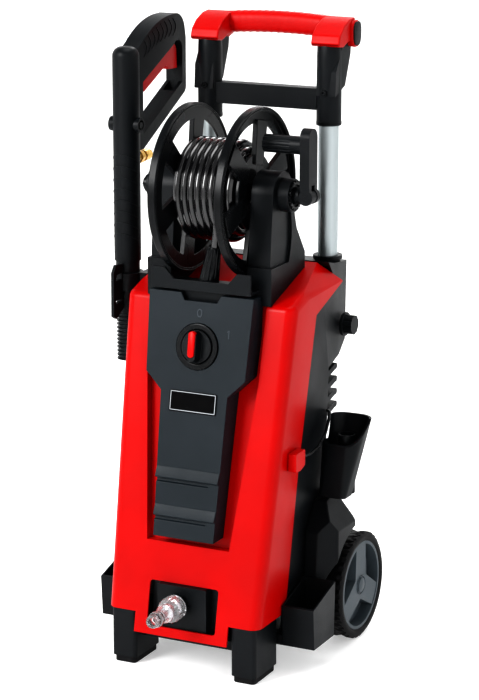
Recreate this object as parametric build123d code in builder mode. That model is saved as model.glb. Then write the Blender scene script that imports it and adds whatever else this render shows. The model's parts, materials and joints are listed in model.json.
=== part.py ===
"""Upright electric pressure washer with a hose reel, a telescoping trolley handle and a parked spray gun.

Millimetres. The origin is on the floor below the middle of the machine: the front looks to -Y, the
spray gun hangs on the -X side, the accessory holder is on the +X side, and Z is up.
"""

import os
from math import atan2, cos, degrees, radians, sin, sqrt

from build123d import *

os.makedirs("parts", exist_ok=True)

# ---- driving dimensions ----
WALL = 3.0                      # housing wall thickness
GAP = 0.3                       # clearance between neighbours

# red front shell: the front face leans back, the sides spread upwards, the deck climbs rearwards
SHELL_FOOT_Y, SHELL_FOOT_Z = -129.2, 86.0
SHOULDER_Y, SHOULDER_Z = -37.0, 543.0
DECK_Y, DECK_Z = 92.0, 585.0
SKIRT_Z = 56.0
HALF_LOW, HALF_HIGH = 123.7, 137.0
FACE_SLOPE = (SHOULDER_Y - SHELL_FOOT_Y) / (SHOULDER_Z - SHELL_FOOT_Z)
DECK_SLOPE = (DECK_Z - SHOULDER_Z) / (DECK_Y - SHOULDER_Y)
SIDE_SLOPE = (HALF_HIGH - HALF_LOW) / (SHOULDER_Z - SHELL_FOOT_Z)

# console on the front face
CONSOLE_TOP_Z, CONSOLE_WAIST_Z, CONSOLE_NECK_Z, CONSOLE_LOW_Z = 557.0, 440.0, 415.0, 205.0
CONSOLE_Y0, CONSOLE_SLOPE = -123.0, 0.174
DIAL_Z, DIAL_R = 482.0, 34.0
DIAL_TILT = degrees(atan2(CONSOLE_SLOPE, 1.0))

# storage pods beside the housing
POD_IN, POD_OUT = 125.6, 177.0

# wheels and axle
WHEEL_R, WHEEL_Y = 82.0, 132.0
WHEEL_IN, WHEEL_OUT = 132.0, 174.0
AXLE_R = 8.0

# telescoping handle
TUBE_X, TUBE_Y, TUBE_R = 98.0, 161.0, 15.0
GUIDE_LOW_Z, GUIDE_TOP_Z = 436.0, 583.0
SLEEVE_LOW_Z = 778.0
GRIP_Y, GRIP_Z, GRIP_HALF = 197.0, 921.5, 116.0
KNOB_Z = 479.0

# hose reel
REEL_Y, REEL_Z = 9.0, 698.0
FLANGE_X, FLANGE_R = 52.0, 123.0
WINDING_R, DRUM_R = 76.0, 43.0
HOSE_D = 12.4
CRANK_PIVOT_X = 137.0
CRANK_GRIP_Z = 771.0

# spray gun
GUN_X, GUN_Y = -172.0, 33.0
BARREL_R, MUZZLE_R = 20.0, 18.0
BARREL_TOP_Z, BARREL_LOW_Z, SHOULDER_LOW_Z = 893.0, 495.0, 574.0
GUN_HALF = 14.0

# motor and pump stand on one upright axis, and the riser pipe leads to the reel
DRIVE_Y = 28.0
PIPE_X, PIPE_R = -88.0, 5.0

MIRROR = (-1, 1)


def save(piece, name):
    """Label a finished piece and write it."""
    piece.part.label = name
    export_step(piece.part, f"parts/{name}.step")


def yz(x):
    """Plane across the machine at x: local axes are Y and Z, extrusions run towards +X."""
    return Plane.YZ.offset(x)


def xz(y):
    """Plane facing the front at y: local axes are X and Z, extrusions run towards -Y."""
    return Plane.XZ.offset(-y)


def face_y(z, inset=0.0):
    """Y of the red front face at height z."""
    return SHELL_FOOT_Y + (z - SHELL_FOOT_Z) * FACE_SLOPE + inset


def deck_z(y):
    """Height of the red deck at y."""
    return SHOULDER_Z + (y - SHOULDER_Y) * DECK_SLOPE


def console_y(z):
    """Y of the console's surface at height z."""
    return CONSOLE_Y0 + (z - CONSOLE_LOW_Z) * CONSOLE_SLOPE


def outline_solid(points, x0, x1):
    """Straight extrusion of a closed (y, z) outline from x0 to x1."""
    with BuildPart() as blank:
        with BuildSketch(yz(x0)):
            Polygon(*points, align=None)
        extrude(amount=x1 - x0)
    return blank.part


def plan_cutter(edge, side):
    """Solid outside a plan line through two (x, y) points, on one side of the machine."""
    (xa, ya), (xb, yb) = edge
    far = 400
    with BuildPart() as cutter:
        with BuildSketch(Plane.XY.offset(-50)):
            Polygon((side * xa, ya), (side * xb, yb), (side * far, yb), (side * far, ya), align=None)
        extrude(amount=900)
    return cutter.part


def lean_cutter(half_low, half_high, side):
    """Solid outside a side face that spreads from half_low at the shell's foot to half_high."""
    slope = (half_high - half_low) / (SHOULDER_Z - SHELL_FOOT_Z)
    low, high = 0.0, 700.0
    with BuildPart() as cutter:
        with BuildSketch(xz(300)):
            Polygon((side * (half_low + (low - SHELL_FOOT_Z) * slope), low),
                    (side * (half_low + (high - SHELL_FOOT_Z) * slope), high),
                    (side * 400, high),
                    (side * 400, low), align=None)
        extrude(amount=600)
    return cutter.part


def shell_form(inset, open_rear=0.0):
    """Outer form of the red shell moved inwards by inset, and reaching open_rear further back."""
    low = SKIRT_Z - open_rear
    outline = [
        (face_y(low) + inset, low),
        (SHOULDER_Y + inset, SHOULDER_Z - inset),
        (DECK_Y + open_rear, deck_z(DECK_Y + open_rear) - inset),
        (130 + open_rear, 552),
        (39 + open_rear, 519),
        (-6 + open_rear, 298),
        (-25 + open_rear, 161),
        (-40 + open_rear, low),
    ]
    blank = outline_solid(outline, -150, 150)
    with BuildPart() as form:
        add(blank)
        for side in MIRROR:
            add(lean_cutter(HALF_LOW - inset, HALF_HIGH - inset, side), mode=Mode.SUBTRACT)
        corners = form.edges().filter_by(
            lambda e: e.length > 300 and e.center().Y < -40 and abs(e.center().X) > 90
        )
        fillet(corners, radius=16 - inset)
        brow = form.edges().filter_by(
            lambda e: e.length > 150 and abs(e.center().X) < 1 and abs(e.center().Z - SHOULDER_Z) < 9
            and e.center().Y < 0
        )
        fillet(brow, radius=12 - inset)
        # facets that fall from the deck to the sides
        for side in MIRROR:
            along_deck = Vector(side * -25, 123, 40)
            along_side = Vector(0, 167, 9)
            outward = along_deck.cross(along_side) * -side
            start = Vector(side * HALF_HIGH, SHOULDER_Y, SHOULDER_Z + 2) - outward.normalized() * inset
            with BuildSketch(Plane(origin=start, x_dir=along_deck, z_dir=outward)):
                Rectangle(700, 700)
            extrude(amount=60, mode=Mode.SUBTRACT)
    return form.part


# ======================= chassis =======================
with BuildPart() as base_frame:
    # pan between the wheels
    with BuildSketch(Plane.XY.offset(39)):
        with Locations((0, 35)):
            Rectangle(236, 162)
    extrude(amount=22)
    # front legs
    for side in MIRROR:
        with BuildSketch(Plane.XY.offset(10)):
            with Locations((side * 98, -88)):
                RectangleRounded(40, 76, 6)
        extrude(amount=75)
    with BuildSketch(Plane.XY.offset(40)):
        with Locations((0, -74)):
            Rectangle(222, 62)
    extrude(amount=14)
    for side in MIRROR:
        # sill under the housing's side wall
        with BuildSketch(Plane.XY.offset(39)):
            with Locations((side * 120, 33)):
                Rectangle(20, 166)
        extrude(amount=16)
        # storage pod in front of the wheel, open at the top
        with BuildSketch(Plane.YZ.offset(side * POD_IN)):
            Polygon((-50, 39), (20, 39), (24, 123), (-54, 101), align=None)
        extrude(amount=side * (POD_OUT - POD_IN))
        with BuildSketch(Plane.YZ.offset(side * (POD_IN + WALL))):
            Polygon((-47, 44), (17, 44), (24, 140), (-51, 140), align=None)
        extrude(amount=side * (POD_OUT - POD_IN - 2 * WALL), mode=Mode.SUBTRACT)
        # axle cheek
        with BuildSketch(Plane.YZ.offset(side * 122)):
            Polygon((60, 39), (116, 39), (156, 66), (156, 98), (110, 104), (60, 55), align=None)
        extrude(amount=side * 8)
    with BuildSketch(yz(-131)):
        with Locations((WHEEL_Y, WHEEL_R)):
            Circle(AXLE_R + 0.05)
    extrude(amount=262, mode=Mode.SUBTRACT)
save(base_frame, "base_frame")

with BuildPart() as foot_pads:
    for side in MIRROR:
        with BuildSketch(Plane.XY):
            with Locations((side * 98, -88)):
                RectangleRounded(35, 70, 6)
        extrude(amount=10)
save(foot_pads, "foot_pads")

# ======================= red front shell =======================
shell_outer = shell_form(0.0)
shell_inner = shell_form(WALL, open_rear=30.0)

CONSOLE_OUTLINE = [
    (84, CONSOLE_TOP_Z),
    (80, CONSOLE_WAIST_Z),
    (54, CONSOLE_NECK_Z),
    (49, CONSOLE_LOW_Z),
]


def console_points(margin):
    """Closed console outline as (x, z) points, grown by margin."""
    right = [(x + margin, z) for x, z in CONSOLE_OUTLINE]
    right[0] = (right[0][0], CONSOLE_TOP_Z + margin)
    right[-1] = (right[-1][0], CONSOLE_LOW_Z - margin)
    return right + [(-x, z) for x, z in reversed(right)]


POCKET_OUTLINE = [(93, 575), (90, 430), (67, 192)]
POCKET_DEPTH = 14.0
CONSOLE_BACK_Y = -30.0


def pocket_solid(margin, depth):
    """Prism of the pocket's outline, grown by margin, down to depth behind the front face."""
    right = [(x + margin, z) for x, z in POCKET_OUTLINE]
    right[-1] = (right[-1][0], right[-1][1] - margin)
    outline = right + [(-x, z) for x, z in reversed(right)]
    floor = outline_solid(
        [(face_y(150, depth), 150), (face_y(600, depth), 600), (-250, 600), (-250, 150)], -150, 150
    )
    with BuildPart() as pocket:
        with BuildSketch(xz(60)):
            Polygon(*outline, align=None)
        extrude(amount=320)
        add(floor, mode=Mode.INTERSECT)
    return pocket.part


with BuildPart() as front_shell:
    add(shell_outer)
    add(shell_inner, mode=Mode.SUBTRACT)
    # channel around the console: a pocket with its own wall, then the console's opening
    add(pocket_solid(WALL, POCKET_DEPTH + WALL) & shell_outer)
    add(pocket_solid(0.0, POCKET_DEPTH), mode=Mode.SUBTRACT)
    with BuildSketch(xz(CONSOLE_BACK_Y)):
        Polygon(*console_points(GAP), align=None)
    extrude(amount=120, mode=Mode.SUBTRACT)
    # inlet opening
    with BuildSketch(xz(-60)):
        with Locations((0, 102)):
            RectangleRounded(112, 66, 5)
    extrude(amount=120, mode=Mode.SUBTRACT)
    # room for the front legs
    for side in MIRROR:
        with BuildSketch(Plane.XY.offset(30)):
            with Locations((side * 110, -90)):
                Rectangle(68, 120)
        extrude(amount=55.5, mode=Mode.SUBTRACT)
    # hole for the riser pipe
    with BuildSketch(Plane.XY.offset(500)):
        with Locations((PIPE_X, DRIVE_Y)):
            Circle(PIPE_R + 0.5)
    extrude(amount=100, mode=Mode.SUBTRACT)
save(front_shell, "front_shell")

# ======================= console =======================
with BuildPart() as core:
    with BuildSketch(xz(0)):
        Polygon(*console_points(-WALL), align=None)
    extrude(amount=140)
console_core = core.part

with BuildPart() as front_console:
    with BuildSketch(xz(CONSOLE_BACK_Y - GAP)):
        Polygon(*console_points(0.0), align=None)
    extrude(amount=120)
    # trim to the sloping console surface
    trim = outline_solid(
        [(console_y(150), 150), (console_y(620), 620), (-300, 620), (-300, 150)], -120, 120
    )
    add(trim, mode=Mode.SUBTRACT)
    hollow = outline_solid(
        [(console_y(150) + 4, 150), (console_y(620) + 4, 620), (60, 620), (60, 150)], -120, 120
    )
    add(hollow & console_core, mode=Mode.SUBTRACT)
    # two ledges between the lower pads
    for ledge_z in (291, 236):
        with BuildSketch(yz(-56)):
            Polygon((console_y(ledge_z + 9) - 1, ledge_z + 9),
                    (console_y(ledge_z - 8) - 1, ledge_z - 8),
                    (console_y(ledge_z - 6) + 3, ledge_z - 6),
                    (console_y(ledge_z + 2) + 3, ledge_z + 2), align=None)
        extrude(amount=90, mode=Mode.SUBTRACT)
with BuildPart() as badge_plate:
    badge_z = 402.5
    with BuildSketch(
        Plane(
            origin=(0, console_y(badge_z) - 0.2, badge_z),
            x_dir=(1, 0, 0),
            z_dir=(0, -1, CONSOLE_SLOPE),
        )
    ):
        RectangleRounded(76, 31, 2)
    extrude(amount=1.4)
save(badge_plate, "badge_plate")

dial_plane = Plane(
    origin=(0, console_y(DIAL_Z), DIAL_Z), x_dir=(1, 0, 0), z_dir=(0, -1, CONSOLE_SLOPE)
)
with BuildPart() as console_with_dial:
    add(front_console.part)
    with BuildSketch(dial_plane):
        Circle(DIAL_R)
    extrude(amount=-2.2, mode=Mode.SUBTRACT)
    with BuildSketch(dial_plane):
        Circle(7)
    extrude(amount=-20, mode=Mode.SUBTRACT)
    # shallow notch in the top edge
    with BuildSketch(xz(0)):
        Polygon((-34, 560), (34, 560), (26, 546), (-26, 546), align=None)
    extrude(amount=120, mode=Mode.SUBTRACT)
save(console_with_dial, "front_console")

with BuildPart() as switch_bezel:
    with BuildSketch(dial_plane.offset(-2)):
        Circle(DIAL_R - 0.2)
        Circle(24.6, mode=Mode.SUBTRACT)
    extrude(amount=4.5)
    chamfer(switch_bezel.edges().group_by(Axis.Y)[0], length=1.2)
save(switch_bezel, "switch_bezel")

with BuildPart() as switch_knob:
    with BuildSketch(dial_plane.offset(-1.8)):
        Circle(24)
    extrude(amount=6)
    with BuildSketch(dial_plane.offset(4)):
        SlotOverall(46, 17, rotation=90)
    extrude(amount=15, taper=6)
    with BuildSketch(dial_plane.offset(-24)):
        Circle(3)
    extrude(amount=24)
    with BuildSketch(dial_plane.offset(13)):
        with Locations((0, 4)):
            SlotOverall(30, 8, rotation=90)
    extrude(amount=10, mode=Mode.SUBTRACT)
save(switch_knob, "switch_knob")

with BuildPart() as knob_pointer:
    with BuildSketch(dial_plane.offset(13.1)):
        with Locations((0, 4)):
            SlotOverall(29.6, 7.6, rotation=90)
    extrude(amount=7.4)
save(knob_pointer, "knob_pointer")

with BuildPart() as rotary_switch:
    with BuildSketch(dial_plane.offset(-9)):
        Rectangle(46, 40)
    extrude(amount=-26)
    with BuildSketch(dial_plane.offset(-5)):
        Circle(6.5)
    extrude(amount=-6)
    with BuildSketch(dial_plane.offset(0)):
        Circle(3.05)
    extrude(amount=-26, mode=Mode.SUBTRACT)
save(rotary_switch, "rotary_switch")

# ======================= water inlet =======================
INLET_X, INLET_Z = -4.0, 107.0
with BuildPart() as inlet_plate:
    with BuildSketch(xz(-107)):
        with Locations((0, 102)):
            RectangleRounded(111, 65, 5)
    extrude(amount=5)
    with BuildSketch(xz(-107)):
        with Locations((0, 98)):
            RectangleRounded(81, 74, 4)
    extrude(amount=21, taper=2)
    with BuildSketch(xz(-90)):
        with Locations((INLET_X, INLET_Z)):
            Circle(13.55)
    extrude(amount=60, mode=Mode.SUBTRACT)
save(inlet_plate, "inlet_plate")

with BuildPart() as inlet_port:
    with BuildSketch(xz(-80)):
        with Locations((INLET_X, INLET_Z)):
            Circle(13.2)
    extrude(amount=60)
    with BuildSketch(xz(-128.4)):
        with Locations((INLET_X, INLET_Z)):
            RegularPolygon(17, 6)
    extrude(amount=8)
    with BuildSketch(xz(-70)):
        with Locations((INLET_X, INLET_Z)):
            Circle(8)
    extrude(amount=90, mode=Mode.SUBTRACT)
save(inlet_port, "inlet_port")

with BuildPart() as quick_connector:
    with BuildSketch(xz(-140.3)):
        with Locations((INLET_X, INLET_Z)):
            Circle(19)
    extrude(amount=24)
    chamfer(quick_connector.edges().group_by(Axis.Y)[0], length=3)
    with BuildSketch(xz(-160)):
        with Locations((INLET_X, INLET_Z)):
            Circle(13)
    extrude(amount=22)
    with BuildSketch(xz(-182)):
        with Locations((INLET_X, INLET_Z)):
            Circle(10)
    extrude(amount=32)
    with BuildSketch(xz(-196)):
        with Locations((INLET_X, INLET_Z)):
            Circle(12)
            Circle(9, mode=Mode.SUBTRACT)
    extrude(amount=5)
    with BuildSketch(xz(-135)):
        with Locations((INLET_X, INLET_Z)):
            Circle(6.5)
    extrude(amount=90, mode=Mode.SUBTRACT)
save(quick_connector, "quick_connector")

# ======================= rear cover =======================
COVER_HALF_LOW, COVER_HALF_HIGH = HALF_LOW - 3.4, HALF_HIGH - 3.4


def cover_form(inset, open_front=0.0):
    """Form of the black rear cover moved inwards by inset, and reaching open_front further forward."""
    f = open_front
    outline = [
        (-39 - f, 62 - f),
        (-24 - f, 161),
        (-5 - f, 298),
        (40 - f, 518),
        (130 - f, 551),
        (DECK_Y + 1 - f, deck_z(DECK_Y + 1) + 1 - inset),
        (128, 578 - inset),
        (186 - inset, 572 - inset),
        (182 - inset, 452 + inset),
        (150 - inset, 434 + inset),
        (98 - inset, 426),
        (98 - inset, 232),
        (98 - inset, 108 + inset),
        (54 - inset, 62 - f),
    ]
    blank = outline_solid(outline, -150, 150)
    with BuildPart() as form:
        add(blank)
        for side in MIRROR:
            add(lean_cutter(COVER_HALF_LOW - inset, COVER_HALF_HIGH - inset, side), mode=Mode.SUBTRACT)
            add(plan_cutter([(137.5 - inset, 40), (117.5 - inset, 190)], side), mode=Mode.SUBTRACT)
    return form.part


cover_outer = cover_form(0.0)
cover_inner = cover_form(WALL, open_front=30.0)
with BuildPart() as rear_cover:
    add(cover_outer)
    add(cover_inner, mode=Mode.SUBTRACT)
    # louvre blades at the rear corners
    for blade_z in (362, 381.5, 401, 420.5):
        for side in MIRROR:
            with BuildSketch(Plane.YZ.offset(side * 88)):
                with BuildLine():
                    low = blade_z - 16
                    Line((97, low), (136, blade_z - 6))
                    ThreePointArc((136, blade_z - 6), (142, blade_z), (136, blade_z + 3))
                    Line((136, blade_z + 3), (97, low + 9))
                    Line((97, low + 9), (97, low))
                make_face()
            extrude(amount=side * 36)
    # guide bores, knob bosses and their holes
    for side in MIRROR:
        with BuildSketch(Plane.XY.offset(428)):
            with Locations((side * TUBE_X, TUBE_Y)):
                Circle(19.2)
        extrude(amount=160, mode=Mode.SUBTRACT)
        with BuildSketch(Plane.YZ.offset(side * 117)):
            with Locations((TUBE_Y, KNOB_Z)):
                Circle(6)
        extrude(amount=side * 20, mode=Mode.SUBTRACT)
save(rear_cover, "rear_cover")

with BuildPart() as mast_guides:
    for side in MIRROR:
        with BuildSketch(Plane.XY.offset(GUIDE_LOW_Z)):
            with Locations((side * TUBE_X, TUBE_Y)):
                Circle(18.9)
        extrude(amount=GUIDE_TOP_Z - 5.5 - GUIDE_LOW_Z)
        with BuildSketch(Plane.XY.offset(GUIDE_TOP_Z - 5.5)):
            with Locations((side * TUBE_X, TUBE_Y)):
                Circle(22)
        extrude(amount=5.5)
        with BuildSketch(Plane.XY.offset(GUIDE_LOW_Z)):
            with Locations((side * TUBE_X, TUBE_Y)):
                Circle(TUBE_R + 0.08)
        extrude(amount=200, mode=Mode.SUBTRACT)
        with BuildSketch(Plane.YZ.offset(side * 112)):
            with Locations((TUBE_Y, KNOB_Z)):
                Circle(4.05)
        extrude(amount=side * 12, mode=Mode.SUBTRACT)
save(mast_guides, "mast_guides")

for side, name in ((-1, "left"), (1, "right")):
    with BuildPart() as clamp_knob:
        with BuildSketch(Plane.YZ.offset(side * 113.3)):
            with Locations((TUBE_Y, KNOB_Z)):
                Circle(4)
        extrude(amount=side * 18)
        with BuildSketch(Plane.YZ.offset(side * 125.5)):
            with Locations((TUBE_Y, KNOB_Z)):
                Circle(18)
        extrude(amount=side * 4)
        with BuildSketch(Plane.YZ.offset(side * 129.5)):
            with Locations((TUBE_Y, KNOB_Z)):
                Circle(14.5)
        extrude(amount=side * 14)
        with BuildSketch(Plane.YZ.offset(side * 130.5)):
            with Locations((TUBE_Y, KNOB_Z)):
                with PolarLocations(16, 10):
                    Circle(2.6)
        extrude(amount=side * 20, mode=Mode.SUBTRACT)
    save(clamp_knob, f"clamp_knob_{name}")

# ======================= wheels, axle and arches =======================
with BuildPart() as axle:
    with BuildSketch(yz(-171)):
        with Locations((WHEEL_Y, WHEEL_R)):
            Circle(AXLE_R)
    extrude(amount=342)
save(axle, "axle")

for side, name in ((-1, "left"), (1, "right")):
    with BuildPart() as tyre:
        with BuildSketch(Plane.YZ.offset(side * WHEEL_IN)):
            with Locations((WHEEL_Y, WHEEL_R)):
                Circle(WHEEL_R)
                Circle(68.3, mode=Mode.SUBTRACT)
        extrude(amount=side * (WHEEL_OUT - WHEEL_IN))
        rims = tyre.edges().filter_by(GeomType.CIRCLE).group_by(SortBy.RADIUS)[-1]
        fillet(rims, radius=5)
    save(tyre, f"tyre_{name}")

    with BuildPart() as rim:
        with BuildSketch(Plane.YZ.offset(side * (WHEEL_IN + 3))):
            with Locations((WHEEL_Y, WHEEL_R)):
                Circle(68)
                Circle(63, mode=Mode.SUBTRACT)
        extrude(amount=side * 37)
        with BuildSketch(Plane.YZ.offset(side * (WHEEL_IN + 18))):
            with Locations((WHEEL_Y, WHEEL_R)):
                Circle(64)
        extrude(amount=side * 4)
        with BuildSketch(Plane.YZ.offset(side * (WHEEL_IN + 3))):
            with Locations((WHEEL_Y, WHEEL_R)):
                Circle(17)
        extrude(amount=side * 36)
        # three broad spokes
        for turn in (90, 210, 330):
            with BuildSketch(Plane.YZ.offset(side * (WHEEL_IN + 21))):
                with Locations(Location((WHEEL_Y, WHEEL_R), turn)):
                    Polygon((0, -20), (66, -17), (66, 17), (0, 20), align=None)
                with Locations((WHEEL_Y, WHEEL_R)):
                    Circle(66, mode=Mode.INTERSECT)
            extrude(amount=side * 18)
        with BuildSketch(Plane.YZ.offset(side * (WHEEL_IN - 1))):
            with Locations((WHEEL_Y, WHEEL_R)):
                Circle(AXLE_R + 0.06)
        extrude(amount=side * 40, mode=Mode.SUBTRACT)
    save(rim, f"rim_{name}")

with BuildPart() as wheel_arches:
    for side in MIRROR:
        with BuildSketch(Plane.YZ.offset(side * 125.2)):
            with BuildLine():
                reach = 101.0
                start = (WHEEL_Y - reach * cos(radians(20)), WHEEL_R + reach * sin(radians(20)))
                middle = (WHEEL_Y - reach * cos(radians(50)), WHEEL_R + reach * sin(radians(50)))
                stop = (WHEEL_Y - reach * cos(radians(80)), WHEEL_R + reach * sin(radians(80)))
                ThreePointArc(start, middle, stop)
                Line(stop, (114, 197))
                Line((114, 197), (100, 238))
                Line((100, 238), (60, 232))
                Line((60, 232), (28, 190))
                Line((28, 190), (26, 122))
                Line((26, 122), start)
            make_face()
        extrude(amount=side * 44.3)
        # the skirt falls away outwards and upwards
        with BuildSketch(xz(0)):
            Polygon((side * 137, 245), (side * 171, 188), (side * 230, 188), (side * 230, 245), align=None)
        extrude(amount=-130, mode=Mode.SUBTRACT)
        with BuildSketch(Plane.XY.offset(110)):
            Polygon((side * 138, 20), (side * 171, 52), (side * 200, 52), (side * 200, 20), align=None)
        extrude(amount=150, mode=Mode.SUBTRACT)
save(wheel_arches, "wheel_arches")

# ======================= telescoping handle =======================
with BuildPart() as handle_tubes:
    for side in MIRROR:
        with BuildSketch(Plane.XY.offset(GUIDE_LOW_Z + 4)):
            with Locations((side * TUBE_X, TUBE_Y)):
                Circle(TUBE_R)
                Circle(TUBE_R - 1.5, mode=Mode.SUBTRACT)
        extrude(amount=390)
save(handle_tubes, "handle_tubes")

CHEEK_OUTLINE = [
    (143.5, 822),
    (146, 858),
    (172, 902),
    (186, 918),
    (200, 903),
    (197, 880),
    (178.5, 835),
]
with BuildPart() as handle_cheeks:
    for side in MIRROR:
        with BuildSketch(Plane.YZ.offset(side * 85)):
            Polygon(*CHEEK_OUTLINE, align=None)
        extrude(amount=side * 31)
        with BuildSketch(Plane.XY.offset(SLEEVE_LOW_Z)):
            with Locations((side * TUBE_X, TUBE_Y)):
                Circle(18.5)
        extrude(amount=50)
        # hollow for the tube
        with BuildSketch(Plane.XY.offset(SLEEVE_LOW_Z)):
            with Locations((side * TUBE_X, TUBE_Y)):
                Circle(TUBE_R + 0.05)
        extrude(amount=52.3, mode=Mode.SUBTRACT)
        # seat of the crossbar
        with BuildSketch(Plane.YZ.offset(side * 84)):
            with Locations((GRIP_Y, GRIP_Z - 5.5)):
                Ellipse(13.9, 18.8)
        extrude(amount=side * 60, mode=Mode.SUBTRACT)
save(handle_cheeks, "handle_cheeks")

with BuildPart() as handle_brace:
    with BuildSketch(Plane.XY.offset(800)):
        with Locations((0, TUBE_Y)):
            Rectangle(2 * (TUBE_X - 12), 22)
    extrude(amount=32)
    with BuildSketch(xz(TUBE_Y + 20)):
        with Locations((0, 816)):
            RectangleRounded(150, 20, 8)
    extrude(amount=13, mode=Mode.SUBTRACT)
    for side in MIRROR:
        with BuildSketch(Plane.XY.offset(790)):
            with Locations((side * TUBE_X, TUBE_Y)):
                Circle(18.6)
        extrude(amount=50, mode=Mode.SUBTRACT)
save(handle_brace, "handle_brace")

with BuildPart() as handle_grip:
    arch_rise = 7.0
    with BuildLine() as arch:
        ThreePointArc(
            (-GRIP_HALF, GRIP_Y, GRIP_Z - arch_rise),
            (0, GRIP_Y, GRIP_Z),
            (GRIP_HALF, GRIP_Y, GRIP_Z - arch_rise),
        )
    with BuildSketch(Plane(origin=arch.line @ 0, x_dir=(0, 1, 0), z_dir=arch.line % 0)):
        Ellipse(13.5, 16.5)
    sweep()
    with BuildSketch(yz(-GRIP_HALF)):
        with Locations((GRIP_Y, GRIP_Z)):
            Rectangle(60, 80)
    extrude(amount=2 * GRIP_HALF, mode=Mode.INTERSECT)
save(handle_grip, "handle_grip")

with BuildPart() as grip_end_caps:
    for side in MIRROR:
        with BuildSketch(Plane.YZ.offset(side * (GRIP_HALF + 1.2))):
            with Locations((GRIP_Y, GRIP_Z - 7)):
                Ellipse(15, 18)
        extrude(amount=side * 10.8)
    fillet(grip_end_caps.edges().filter_by(lambda e: abs(e.center().X) > GRIP_HALF + 10), radius=5)
save(grip_end_caps, "grip_end_caps")

with BuildPart() as handle_screws:
    for side in MIRROR:
        with BuildSketch(xz(TUBE_Y - 18.6)):
            with Locations((side * TUBE_X, 827)):
                Circle(5)
        extrude(amount=2.4)
        with BuildSketch(xz(TUBE_Y - 19.4)):
            with Locations((side * TUBE_X, 827)):
                RegularPolygon(2.4, 6)
        extrude(amount=4, mode=Mode.SUBTRACT)
save(handle_screws, "handle_screws")

# ======================= hose reel =======================
TOWER_IN, TOWER_OUT, BASE_OUT, TRAY_HALF = 61.0, 96.0, 100.0, 80.0


def under_deck(lift):
    """Everything lower than lift above the red deck."""
    return outline_solid(
        [(-140, deck_z(-140) + lift), (160, deck_z(160) + lift), (160, 300), (-140, 300)], -150, 150
    )


deck_block = under_deck(0.2)
with BuildPart() as reel_frame:
    for side in MIRROR:
        # tower with a round head
        with BuildSketch(Plane.YZ.offset(side * TOWER_IN)):
            with BuildLine():
                Line((-33, 540), (-33, 612))
                Line((-33, 612), (-24.5, 698))
                ThreePointArc((-24.5, 698), (REEL_Y, REEL_Z + 33.5), (42.5, 698))
                ThreePointArc((42.5, 698), (55, 645), (76, 602))
                Line((76, 602), (76, 540))
                Line((76, 540), (-33, 540))
            make_face()
        extrude(amount=side * (TOWER_OUT - TOWER_IN))
        # stepped foot of the tower
        with BuildSketch(Plane.YZ.offset(side * TOWER_IN)):
            with BuildLine():
                Line((-38, 540), (-38, 598))
                Line((-38, 598), (20, 598))
                ThreePointArc((20, 598), (30, 640), (26, 674))
                ThreePointArc((26, 674), (50, 640), (76, 604))
                Line((76, 604), (76, 540))
                Line((76, 540), (-38, 540))
            make_face()
        extrude(amount=side * (BASE_OUT - TOWER_IN))
        with BuildSketch(Plane.YZ.offset(side * (TOWER_IN - 1))):
            with Locations((REEL_Y, REEL_Z)):
                Circle(14.05)
        extrude(amount=side * 70, mode=Mode.SUBTRACT)
    # tray that joins the towers, with a raised front wall
    with BuildSketch(Plane.XY.offset(561)):
        with Locations((0, -34)):
            Rectangle(2 * TRAY_HALF, 60)
    extrude(amount=5)
    with BuildSketch(xz(-60)):
        Polygon(
            (-TRAY_HALF, 561),
            (TRAY_HALF, 561),
            (TRAY_HALF, 592),
            (58, 592),
            (44, 576),
            (-44, 576),
            (-58, 592),
            (-TRAY_HALF, 592),
            align=None,
        )
    extrude(amount=4)
    add(deck_block, mode=Mode.SUBTRACT)
    with BuildSketch(xz(CONSOLE_BACK_Y + GAP)):
        with Locations((0, 520)):
            Rectangle(170, 2 * (CONSOLE_TOP_Z + GAP - 520))
    extrude(amount=80, mode=Mode.SUBTRACT)
    # socket of the riser pipe
    with BuildSketch(Plane.XY.offset(540)):
        with Locations((PIPE_X, DRIVE_Y)):
            Circle(PIPE_R + 0.1)
    extrude(amount=44.2, mode=Mode.SUBTRACT)
save(reel_frame, "reel_frame")

with BuildPart() as reel_bearings:
    for side in MIRROR:
        with BuildSketch(Plane.YZ.offset(side * (TOWER_OUT + 0.1))):
            with Locations((REEL_Y, REEL_Z)):
                Circle(24)
                Circle(12.1, mode=Mode.SUBTRACT)
        extrude(amount=side * 18.5)
        with BuildSketch(Plane.YZ.offset(side * (TOWER_IN + 1))):
            with Locations((REEL_Y, REEL_Z)):
                Circle(14)
                Circle(12.1, mode=Mode.SUBTRACT)
        extrude(amount=side * 36)
save(reel_bearings, "reel_bearings")

for side, name in ((-1, "left"), (1, "right")):
    with BuildPart() as flange:
        with BuildSketch(Plane.YZ.offset(side * 47)):
            with Locations((REEL_Y, REEL_Z)):
                Circle(FLANGE_R)
                Circle(FLANGE_R - 23, mode=Mode.SUBTRACT)
        extrude(amount=side * 4)
        with BuildSketch(Plane.YZ.offset(side * 47)):
            with Locations((REEL_Y, REEL_Z)):
                Circle(FLANGE_R)
                Circle(FLANGE_R - 6, mode=Mode.SUBTRACT)
        extrude(amount=side * 11)
        with BuildSketch(Plane.YZ.offset(side * 47)):
            with Locations((REEL_Y, REEL_Z)):
                Circle(56)
                Circle(14, mode=Mode.SUBTRACT)
        extrude(amount=side * 5)
        # six spokes
        for spoke in range(6):
            with BuildSketch(Plane.YZ.offset(side * 47)):
                with Locations(Location((REEL_Y, REEL_Z), 60 * spoke + 20)):
                    Polygon((40, -13), (104, -17), (104, 17), (40, 13), align=None)
            extrude(amount=side * 8)
    save(flange, f"reel_flange_{name}")

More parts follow.
